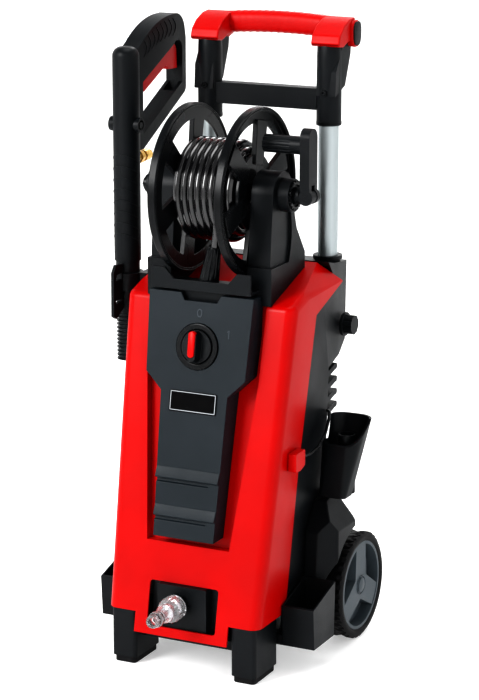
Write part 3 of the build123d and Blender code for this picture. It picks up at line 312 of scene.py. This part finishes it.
def clean_normals_group():
    """Joins the mesh's split corners and shades it smooth except at its real edges."""
    group = bpy.data.node_groups.new("clean_normals", "GeometryNodeTree")
    group.interface.new_socket("Geometry", in_out="INPUT", socket_type="NodeSocketGeometry")
    group.interface.new_socket("Geometry", in_out="OUTPUT", socket_type="NodeSocketGeometry")
    source = group.nodes.new("NodeGroupInput")
    sink = group.nodes.new("NodeGroupOutput")
    merge = group.nodes.new("GeometryNodeMergeByDistance")
    merge.inputs["Distance"].default_value = 0.01 * MM
    drop = group.nodes.new("GeometryNodeRemoveAttribute")
    drop.inputs["Name"].default_value = "custom_normal"
    faces = group.nodes.new("GeometryNodeSetShadeSmooth")
    edges = group.nodes.new("GeometryNodeSetShadeSmooth")
    edges.domain = "EDGE"
    edges.inputs["Shade Smooth"].default_value = False
    bend = group.nodes.new("GeometryNodeInputMeshEdgeAngle")
    sharp = group.nodes.new("FunctionNodeCompare")
    sharp.inputs["B"].default_value = math.radians(24)
    join = group.links.new
    join(source.outputs[0], merge.inputs["Geometry"])
    join(merge.outputs["Geometry"], drop.inputs["Geometry"])
    join(drop.outputs["Geometry"], faces.inputs["Geometry"])
    join(faces.outputs["Geometry"], edges.inputs["Geometry"])
    join(bend.outputs["Unsigned Angle"], sharp.inputs["A"])
    join(sharp.outputs["Result"], edges.inputs["Selection"])
    join(edges.outputs["Geometry"], sink.inputs[0])
    return group


CLEAN_NORMALS = clean_normals_group()


def soften(piece, width):
    """Rounds a piece's sharp edges by width millimetres, without touching its own mesh."""
    clean = piece.modifiers.new("clean_normals", "NODES")
    clean.node_group = CLEAN_NORMALS
    if width:
        flat = piece.modifiers.new("flat_faces", "DECIMATE")
        flat.decimate_type = "DISSOLVE"
        flat.angle_limit = math.radians(0.4)
        bevel = piece.modifiers.new("soft_edges", "BEVEL")
        bevel.width = width * MM
        bevel.segments = 2
        bevel.limit_method = "ANGLE"
        bevel.angle_limit = math.radians(28)
        bevel.harden_normals = True


def dress_cad():
    """Gives every CAD node its material and softened edges."""
    slots = {s["node"]: s["material_slot"] for s in frame["record"]["subparts"]}
    for name, piece in frame["nodes"].items():
        material = NODE_MATERIALS.get(name, SLOT_MATERIALS[slots[name]])
        piece.data.materials.clear()
        piece.data.materials.append(material)
        soften(piece, BEVELS.get(name, COMMON_BEVEL))


dress_cad()


# ======================= shapes =======================
CREASE = math.radians(35)
# each axis to turn about, with the directions of angle zero and of a quarter turn
ABOUT_X = Vector((1, 0, 0)), Vector((0, 0, 1)), Vector((0, 1, 0))
ABOUT_Y = Vector((0, 1, 0)), Vector((1, 0, 0)), Vector((0, 0, 1))
ABOUT_Z = Vector((0, 0, 1)), Vector((1, 0, 0)), Vector((0, 1, 0))


def even_turn(count):
    """Angles of count even steps round a full turn."""
    return [2 * math.pi * step / count for step in range(count)]


def grid_faces(rows, columns, rows_loop=True, columns_loop=True):
    """Four-sided faces over rows of points; a direction that loops joins its end to its start."""
    faces = []
    for row in range(rows if rows_loop else rows - 1):
        a, b = row * columns, (row + 1) % rows * columns
        for i in range(columns if columns_loop else columns - 1):
            j = (i + 1) % columns
            faces.append((a + i, a + j, b + j, b + i))
    return faces


def stacked(rings):
    """Points and faces of a solid through equal rings of points, with a flat face on each end."""
    rows, around = len(rings), len(rings[0])
    ends = [tuple(range(around)), tuple(range((rows - 1) * around, rows * around))]
    return [point for ring in rings for point in ring], ends + grid_faces(rows, around, rows_loop=False)


def turned(about, centre, segments, section_at, capped=False):
    """Points and faces of a shape turned about an axis through centre.

    section_at gives the section at a step, as millimetres along the axis and radius. The section is a
    closed loop, or an open line with a flat face at both ends when the shape is capped.
    """
    axis, start, quarter = about
    count = len(section_at(0))
    verts = []
    for step, angle in enumerate(even_turn(segments)):
        outward = start * math.cos(angle) + quarter * math.sin(angle)
        verts += [centre + (axis * along + outward * radius) * MM for along, radius in section_at(step)]
    faces = grid_faces(segments, count, columns_loop=not capped)
    if capped:
        faces += [tuple(range(end, segments * count, count)) for end in (0, count - 1)]
    return verts, faces


def lathe(about, centre, segments, profile, capped=False):
    """A turned shape with the same profile all round."""
    return turned(about, centre, segments, lambda step: profile, capped)


def finish_piece(piece, material, body):
    """Material and body of a new piece."""
    bpy.context.scene.collection.objects.link(piece)
    piece.data.materials.append(material)
    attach(piece, body)
    return piece


def mesh_piece(name, shape, material, body, smooth=True):
    """Mesh object from the points, in metres, and the faces of a shape."""
    verts, faces = shape
    mesh = bpy.data.meshes.new(name)
    mesh.from_pydata([tuple(v) for v in verts], [], faces)
    bm = bmesh.new()
    bm.from_mesh(mesh)
    bmesh.ops.recalc_face_normals(bm, faces=bm.faces)
    for edge in bm.edges:
        edge.smooth = len(edge.link_faces) == 2 and edge.calc_face_angle(0) < CREASE
    bm.to_mesh(mesh)
    bm.free()
    if smooth:
        mesh.shade_smooth()
    return finish_piece(bpy.data.objects.new(name, mesh), material, body)


def bead(name, centre, x, radius, thickness, material, body):
    """Round bead that circles the X axis through centre."""
    profile = [(x + thickness * math.cos(turn), radius + thickness * math.sin(turn))
               for turn in even_turn(8)]
    mesh_piece(name, lathe(ABOUT_X, centre, 96, profile), material, body)


def round_line(name, kind, points, diameter, roundness, material, body):
    """Round bar along one open spline through points in metres; a higher roundness gives it more sides."""
    curve = bpy.data.curves.new(name, "CURVE")
    curve.dimensions = "3D"
    curve.bevel_depth = diameter / 2
    curve.bevel_resolution = roundness
    curve.use_fill_caps = True
    curve.resolution_u = 6
    spline = curve.splines.new(kind)
    spline.points.add(len(points) - 1)
    for target, point in zip(spline.points, points):
        target.co = (*point, 1)
    if kind == "NURBS":
        spline.order_u = 3
        spline.use_endpoint_u = True
    return finish_piece(bpy.data.objects.new(name, curve), material, body)


# ======================= the hose =======================
def winding_route():
    """Layers of turns on the drum: each layer crosses the drum and climbs onto the one below."""
    # radius of the layer, x where it starts and ends, and its number of turns
    layers = ((49.4, -38.7, 38.7, 7), (59.8, 38.7, -38.7, 7), (69.9, -38.7, 26.0, 6))
    per_turn = 14
    # the spline cuts across its control points, so they stand a little further out
    outset = 1.008
    # the hose lies square to the axis for this share of a turn and steps sideways in the rest
    square_share = 0.55
    points = []
    start_angle = 0.0
    for radius, x_from, x_to, turns in layers:
        steps = turns * per_turn
        for step in range(steps):
            turn = step / (steps - 1) * turns
            sideways = (turn - math.floor(turn) - square_share) / (1 - square_share)
            stepped = math.floor(turn) + min(1.0, max(0.0, sideways))
            angle = start_angle + 2 * math.pi * step / per_turn
            wobble = 0.35 * math.sin(angle * 3.1 + radius)
            x = x_from + (x_to - x_from) * min(1.0, stepped / turns) + wobble
            reach = radius * outset
            points.append(REEL_AXIS + mm(x, reach * math.cos(angle), reach * math.sin(angle)))
        start_angle += 2 * math.pi * turns
    # the last stretch runs round the front and down to the free end
    for extra in range(1, 8):
        angle = start_angle + 2 * math.pi * extra / per_turn
        points.append(REEL_AXIS + mm(26.5, 70.3 * math.cos(angle), 70.3 * math.sin(angle)))
    return points


def make_connector():
    """Tapered connector with flat ribs and a bright ring at its foot."""
    top, foot = mm(16.5, -53.5, 619.2), mm(2.5, -44, 567.4)
    turn = (foot - top).to_track_quat("Z", "Y").to_matrix()
    about = turn.col[2], turn.col[0], turn.col[1]
    length = (foot - top).length / MM
    ribs, per_rib, groove_depth = 12, 6, 1.3
    # share of the length, radius, and whether the ribs run through
    rings = ((-0.16, 6.3, False), (-0.16, 7.6, False), (-0.12, 8.6, False), (-0.02, 10.2, True),
             (0.4, 12.4, True), (0.84, 14.6, True), (0.89, 14.9, False), (0.92, 13.8, False),
             (0.92, 6.0, False))

    def ribbed_section(step):
        groove = groove_depth if step % per_rib in (0, 1) else 0.0
        return [(share * length, radius - groove * ribbed) for share, radius, ribbed in rings]

    body = mesh_piece("connector_body", turned(about, top, ribs * per_rib, ribbed_section, capped=True),
                      BLACK_SMOOTH, "root")
    foot_ring = ((0.9, 13.4), (0.92, 14.3), (0.95, 14.5), (0.98, 13.9), (0.985, 11.6), (0.9, 11.0))
    profile = [(share * length, radius) for share, radius in foot_ring]
    metal = mesh_piece("connector_ring", lathe(about, top, 48, profile), SILVER, "root")
    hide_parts("hose_connector")
    return [body, metal]


def make_hose():
    """The wound hose, its short free end and the ribbed connector on it."""
    route = winding_route()
    wound = round_line("hose_wound_turns", "NURBS", route, HOSE_D, 6, HOSE, "reel")
    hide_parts("hose_wound")

    connector = make_connector()
    tail_points = [mm(27, -61.3, 704), mm(27, -62, 680), mm(26.5, -61.6, 655), mm(22.5, -58.6, 638),
                   mm(16.8, -53.7, 620.3)]
    tail = round_line("hose_free_end", "NURBS", tail_points, HOSE_D, 6, HOSE, "root")
    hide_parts("hose_tail")


make_hose()


# ======================= wheels =======================
def make_tyre(side, name):
    """Tyre with staggered tread blocks between ring grooves."""
    centre_x, steps, blocks = 153 * side, 216, 36
    groove_radius, block_radius = 79.4, 81.9
    shoulder = [(-17, 66.5), (-19.5, 69), (-21, 73), (-20.6, 77.5), (-18.6, 80.2)]
    tread = (-17.6, -11.4, -10.2, -1.3, 1.3, 10.2, 11.4, 17.6)
    ring_groove, lean, gap = 1.5, 15, 0.3

    def section_at(step):
        section = list(shoulder)
        for x in tread:
            stagger = 0.5 if x > 0 else 0.0
            phase = (step * blocks / steps + abs(x) / lean + stagger) % 1
            in_groove = abs(x) < ring_groove or phase < gap
            section.append((x, groove_radius if in_groove else block_radius))
        section += [(-x, radius) for x, radius in reversed(shoulder)]
        return [(centre_x + x, radius) for x, radius in section]

    tyre = mesh_piece("tyre_tread_" + name, turned(ABOUT_X, WHEEL_AXIS, steps, section_at), TYRE,
                      "wheel_" + name)
    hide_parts("tyre_" + name)


def make_wheels():
    """Tyres, and the beads and caps on the outer faces of the wheels."""
    cap = ((171.3, 0.3), (171.3, 11.5), (172.8, 11.2), (173.6, 9.5), (173.9, 0.3))
    for side, name in SIDES:
        wheel = "wheel_" + name
        make_tyre(side, name)
        bead("sidewall_bead_" + name, WHEEL_AXIS, side * 173.2, 75.5, 0.7, TYRE, wheel)
        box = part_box("rim_" + name)
        rim_face = max(abs(box[0][0]), abs(box[1][0])) / MM
        bead("rim_cap_ring_" + name, WHEEL_AXIS, side * (rim_face - 0.4), 14, 0.9, RIM, wheel)
        profile = [(side * x, radius) for x, radius in cap]
        mesh_piece("rim_cap_" + name, lathe(ABOUT_X, WHEEL_AXIS, 48, profile), RIM, wheel)


make_wheels()


# ======================= console =======================
# how deep the 0 and the lips are let into the console's face
SUNK = 0.3


def rectangle(x0, x1, z0, z1):
    """Corners of an upright rectangle."""
    return (x0, z0), (x1, z0), (x1, z1), (x0, z1)


def slab(name, corners, height, material):
    """Flat polygon that stands up from the console's face; corners are (x, z)."""
    foot = -0.4
    rings = [[console_point(x, z, lift) for x, z in corners] for lift in (foot, height)]
    mesh_piece(name, stacked(rings), material, "root", smooth=False)


def make_dial_marks():
    """Raised 0 above the dial for off, and 1 to its right for on."""
    zero_z, steps = 530, 28
    # half width, half height and lift of the corners of the 0's section
    section = ((4.2, 6.0, -SUNK), (4.2, 6.0, 0.5), (2.9, 4.7, 0.5), (2.9, 4.7, -SUNK))
    verts = [console_point(half_x * math.cos(angle), zero_z + half_z * math.sin(angle), lift)
             for angle in even_turn(steps) for half_x, half_z, lift in section]
    mesh_piece("mark_zero", (verts, grid_faces(steps, len(section))), MARK, "root")
    slab("mark_one", rectangle(48.2, 49.8, 498, 510), 0.5, MARK)
    slab("mark_one_flag", ((46.3, 506.8), (48.4, 508.4), (48.4, 510), (46.3, 508.2)), 0.5, MARK)


def make_badge_line():
    """Pale line round the blank badge."""
    inset, width, height = 1.6, 1, 1.8
    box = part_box("badge_plate")
    low, high = box[0][2] / MM + inset, box[1][2] / MM - inset
    half = box[1][0] / MM - inset
    strips = {
        "low": rectangle(-half, half, low, low + width),
        "high": rectangle(-half, half, high - width, high),
        "left": rectangle(-half, -half + width, low, high),
        "right": rectangle(half - width, half, low, high),
    }
    for name, corners in strips.items():
        slab("badge_line_" + name, corners, height, PALE)


def make_notch_wall():
    """Dark wall behind the notch in the console's top edge."""
    rings = [[mm(x, y, z) for x, z in rectangle(-42, 42, 541, 560.5)] for y in (-53.5, -50.5)]
    mesh_piece("notch_wall", stacked(rings), BLACK, "root", smooth=False)


def make_dial_bar():
    """Red bar with round ends on the dial's lever."""
    half_width, half_straight = 5.4, 13.5
    rings = []
    for lift, grow in ((14.0, 1.0), (20.4, 1.0), (21.2, 0.9), (21.6, 0.72)):
        ring = []
        for angle in even_turn(20):
            straight = math.copysign(half_straight, math.sin(angle))
            x, z = half_width * grow * math.cos(angle), half_width * grow * math.sin(angle)
            ring.append(console_point(x, DIAL_Z + straight + z, lift))
        rings.append(ring)
    bar = mesh_piece("knob_bar", stacked(rings), RED_TRIM, "switch_knob")
    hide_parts("knob_pointer")


def make_console_lips():
    """Two overlapping lips across the lower console."""
    # height over the lip's lower edge, and lift
    section = ((16, -SUNK), (15.5, 0.4), (2.0, 4.4), (0, 4.4), (-1.2, 2.2), (-1.6, -SUNK))
    for name, z, half in (("upper", 291, 50.8), ("lower", 236, 49.4)):
        rings = [[console_point(x, z + dz, lift) for dz, lift in section] for x in (-half, half)]
        lip = mesh_piece("console_lip_" + name, stacked(rings), CONSOLE, "root")
        soften(lip, 0.6)


make_dial_marks()
make_badge_line()
make_notch_wall()
make_dial_bar()
make_console_lips()


# ======================= water inlet =======================
def make_inlet():
    """Clear quick connector round a bright core, with two seal rings."""
    flutes, flute_depth, segments = 16, 1.1, 64
    widest = 19
    # the sections are places along Y and radii
    outer = ((-141, 15.5), (-141, 18.4), (-143, widest), (-158, widest), (-161, 17.4), (-164, 13.6),
             (-176, 13.2), (-180, 11.6), (-183, 10), (-195, 10), (-196, 11.6), (-200.5, 11.6), (-202, 10),
             (-211, 9.7), (-213.6, 8.4), (-213.6, 6.6), (-190, 6.6), (-180, 7.6), (-172, 10.6), (-158, 15.2))

    def fluted_section(step):
        cut = flute_depth if (step * flutes / segments) % 1 < 0.45 else 0.0
        return [(y, radius - cut if radius == widest else radius) for y, radius in outer]

    shell = mesh_piece("inlet_clear_body", turned(ABOUT_Y, INLET_AXIS, segments, fluted_section), CLEAR,
                       "root")
    core = ((-142, 0.5), (-142, 14), (-150, 14), (-152, 9.4), (-168, 9.4), (-170, 6.2), (-186, 5.8),
            (-186, 3.6), (-160, 3.4), (-160, 0.5))
    mesh_piece("inlet_core", lathe(ABOUT_Y, INLET_AXIS, segments, core), SILVER, "root")
    for name, y in (("front", -203.4), ("back", -192.5)):
        seal = ((y - 1.1, 9.5), (y, 10.45), (y + 1.1, 9.5))
        ring = lathe(ABOUT_Y, INLET_AXIS, segments, seal)
        mesh_piece("inlet_seal_" + name, ring, RUBBER, "root")
    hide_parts("quick_connector")


make_inlet()


# ======================= handle =======================
def soft_square(angle):
    """A point on a unit circle that is pushed out towards a square."""
    c, s = math.cos(angle), math.sin(angle)
    return abs(c) ** 0.72 * math.copysign(1, c), abs(s) ** 0.72 * math.copysign(1, s)


def grip_ring(x, centre_z, half_y, half_z, sag):
    """Outline of the grip across X; its lower half hangs down by sag more."""
    ring = []
    for angle in even_turn(32):
        across, up = soft_square(angle)
        ring.append(mm(x, GRIP_Y + half_y * across, centre_z + half_z * up + sag * min(0.0, up)))
    return ring


def make_grip_cover():
    """Red grip with a row of finger ribs that swells and hangs lower over the cheeks."""
    half_length, stations = 126, 121
    middle_z, drop, drop_at = 921.2, 6.6, 116
    ribs_end, rib_height, rib_pitch = 72, 0.55, 11.5
    cheek_start, cheek_blend, cheek_sag = 76, 10, 7.5
    rings = []
    for i in range(stations):
        x = half_length * (2 * i / (stations - 1) - 1)
        centre_z = middle_z - drop * (x / drop_at) ** 2
        wide = min(1.0, max(0.0, (abs(x) - cheek_start) / cheek_blend))
        wave = max(0.0, math.cos(2 * math.pi * x / rib_pitch))
        rib = rib_height * wave if abs(x) < ribs_end else 0.0
        end = 1.0 if abs(x) < half_length - 1 else 0.93
        half_y, half_z = 13.4 + 1.4 * wide + rib * 0.5, 15.9 + 0.2 * wide + rib
        rings.append(grip_ring(x, centre_z, half_y * end, half_z * end, cheek_sag * wide))
    grip = mesh_piece("grip_cover", stacked(rings), GRIP_RED, "handle")
    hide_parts("handle_grip")


def make_grip_end_plates():
    """Thin dark plates on both ends of the grip."""
    for side, name in SIDES:
        rings = [grip_ring(side * x, 913.4, 14.6 * share, 16 * share, 7 * share)
                 for x, share in ((125.6, 0.9), (127.4, 0.9), (127.9, 0.82))]
        plate = mesh_piece("grip_end_plate_" + name, stacked(rings), BLACK, "handle")
        if side == 1:
            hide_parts("grip_end_caps")


def make_handle_posts():
    """Round sleeves that carry the tubes' line up to the grip, with a seam ring."""
    # height and radius
    post = ((800, 18.4), (826, 18.4), (880, 18.2), (896, 17.6), (903, 15.8), (906, 12))
    seam = ((779, 18.2), (779.6, 19.1), (783, 19.1), (783.6, 18.2))
    for side, name in SIDES:
        axis = mm(side * 98, 161, 0)
        mesh_piece("handle_post_" + name, lathe(ABOUT_Z, axis, 48, post, capped=True), BLACK,
                   "handle")
        mesh_piece("handle_seam_" + name, lathe(ABOUT_Z, axis, 48, seam, capped=True), BLACK_SMOOTH,
                   "handle")


def make_grip_hoods():
    """Red hoods that reach forward from the grip over the tops of the two posts."""
    # the side view: places along Y and heights
    outline = ((143, 895), (142, 900), (146, 911), (160, 923), (182, 932), (200, 934), (204, 908),
               (196, 901), (176, 899), (160, 893))
    for side, name in SIDES:
        rings = [[mm(side * x, y, z) for y, z in outline] for x in (76, 122)]
        hood = mesh_piece("grip_hood_" + name, stacked(rings), GRIP_RED, "handle")
        soften(hood, 4.5)


make_grip_cover()
make_grip_end_plates()
make_handle_posts()
make_grip_hoods()


# ======================= reel details =======================
def make_flange_beads():
    """Raised beads on both faces of the reel's flanges."""
    for side, name in SIDES:
        for x, face in ((58.1, "outer"), (46.9, "inner")):
            for radius in (121.4, 118.6):
                bead(f"flange_bead_{name}_{face}_{radius:.0f}", REEL_AXIS, side * x, radius, 0.9,
                     BLACK_SMOOTH, "reel")


def make_bearing_teeth():
    """Toothed ring on the end of the right bearing."""
    teeth, per_tooth = 20, 4
    inner, tip, gap = 16.2, 21.6, 19.2

    def toothed_section(step):
        outer = tip if step % per_tooth < per_tooth / 2 else gap
        return (113.5, outer), (117.2, outer - 0.4), (117.2, inner), (113.5, inner)

    mesh_piece("bearing_teeth", turned(ABOUT_X, REEL_AXIS, teeth * per_tooth, toothed_section),
               BLACK_SMOOTH, "root")


make_flange_beads()
make_bearing_teeth()


# ======================= gun details =======================
def ridge(name, points, diameter):
    """Fine raised line on the gun."""
    round_line(name, "POLY", points, diameter * MM, 2, BLACK, "gun")


def make_foregrip_ridges():
    """Ridges that run round the front of the barrel's foregrip and rise in the middle."""
    lowest, pitch, radius, rise, steps = 604, 17, 19.9, 13, 24
    for i in range(8):
        points = []
        for step in range(steps + 1):
            share = step / steps
            angle = math.radians(-175 + 170 * share)
            points.append(mm(GUN_X + radius * math.cos(angle), GUN_Y + radius * math.sin(angle),
                             lowest + pitch * i + rise * math.sin(math.pi * share)))
        ridge(f"foregrip_ridge_{i}", points, 1.5)


def make_hand_grip_ridges():
    """Ridges on both flanks of the hand grip, spaced along its upper edge."""
    count, drop, sweep = 8, 26, 9
    for i in range(count):
        share = i / (count - 1)
        y = 63 + 92 * share
        top = 894 + 29 * math.sin(math.radians(12 + 78 * share))
        for side, name in SIDES:
            x = GUN_X + side * 14
            points = [mm(x, y + sweep * math.sin(math.pi * t / 10), top - drop * t / 10) for t in range(11)]
            ridge(f"hand_grip_ridge_{i}_{name}", points, 1.4)


def make_boss_rings():
    """Flat rings on the two side bosses of the gun."""
    boss_axis = mm(0, GUN_Y, 778)
    for side, name in SIDES:
        face, back = GUN_X + side * 25, GUN_X + side * 23.8
        profile = ((face, 7.5), (back, 7.5), (back, 5), (face, 5))
        mesh_piece("boss_ring_" + name, lathe(ABOUT_X, boss_axis, 32, profile), BLACK_SMOOTH, "gun")


make_foregrip_ridges()
make_hand_grip_ridges()
make_boss_rings()


# ======================= studio =======================
def make_floor():
    """Pale seamless floor just under the feet, which curves up into a round wall."""
    reach, corner, height, segments, bend_steps = 6.5, 1.8, 6.5, 72, 12
    floor_z = -0.0002
    profile = [(1.5, floor_z), (reach - corner, floor_z)]
    for step in range(1, bend_steps + 1):
        angle = math.pi / 2 * step / bend_steps
        profile.append((reach - corner + corner * math.sin(angle), corner - corner * math.cos(angle)))
    profile.append((reach, height))
    verts = [(radius * math.cos(angle), radius * math.sin(angle), z)
             for radius, z in profile for angle in even_turn(segments)]
    centre = len(verts)
    verts.append((0, 0, floor_z))
    faces = [(centre, k, (k + 1) % segments) for k in range(segments)]
    faces += [face[::-1] for face in grid_faces(len(profile), segments, rows_loop=False)]
    mesh = bpy.data.meshes.new("studio_floor")
    mesh.from_pydata(verts, [], faces)
    mesh.shade_smooth()
    floor = bpy.data.objects.new("studio_floor", mesh)
    bpy.context.scene.collection.objects.link(floor)
    white, shader = new_material("studio_white", (0.85, 0.85, 0.85), 0.6)
    shader.inputs["Emission Color"].default_value = (1, 1, 1, 1)
    shader.inputs["Emission Strength"].default_value = 0.3
    mesh.materials.append(white)


def area_light(name, place, target, power, width, height):
    """Rectangular soft light that faces its target."""
    light = bpy.data.lights.new(name, "AREA")
    light.shape = "RECTANGLE"
    light.size = width
    light.size_y = height
    light.energy = power
    lamp = bpy.data.objects.new(name, light)
    bpy.context.scene.collection.objects.link(lamp)
    lamp.location = place
    lamp.rotation_euler = (Vector(target) - Vector(place)).to_track_quat("-Z", "Y").to_euler()


def make_world():
    """Even white light from all round, and crisp tones."""
    world = bpy.data.worlds.new("studio_world")
    bpy.context.scene.world = world
    world.use_nodes = True
    background = world.node_tree.nodes["Background"]
    background.inputs["Color"].default_value = (1, 1, 1, 1)
    background.inputs["Strength"].default_value = 0.36
    bpy.context.scene.view_settings.view_transform = "Standard"
    bpy.context.scene.view_settings.look = "High Contrast"


make_floor()
area_light("key_left", (-1.3, -2.7, 2.0), (0, 0, 0.5), 84, 1.1, 1.5)
area_light("fill_right", (2.8, -0.9, 1.1), (0, 0.1, 0.5), 2, 0.8, 2.0)
area_light("top_soft", (0.1, 0.3, 3.0), (0, 0, 0.4), 26, 1.4, 1.4)
area_light("rim_back", (-0.6, 2.6, 2.4), (0, 0.1, 0.6), 14, 0.6, 1.2)
make_world()
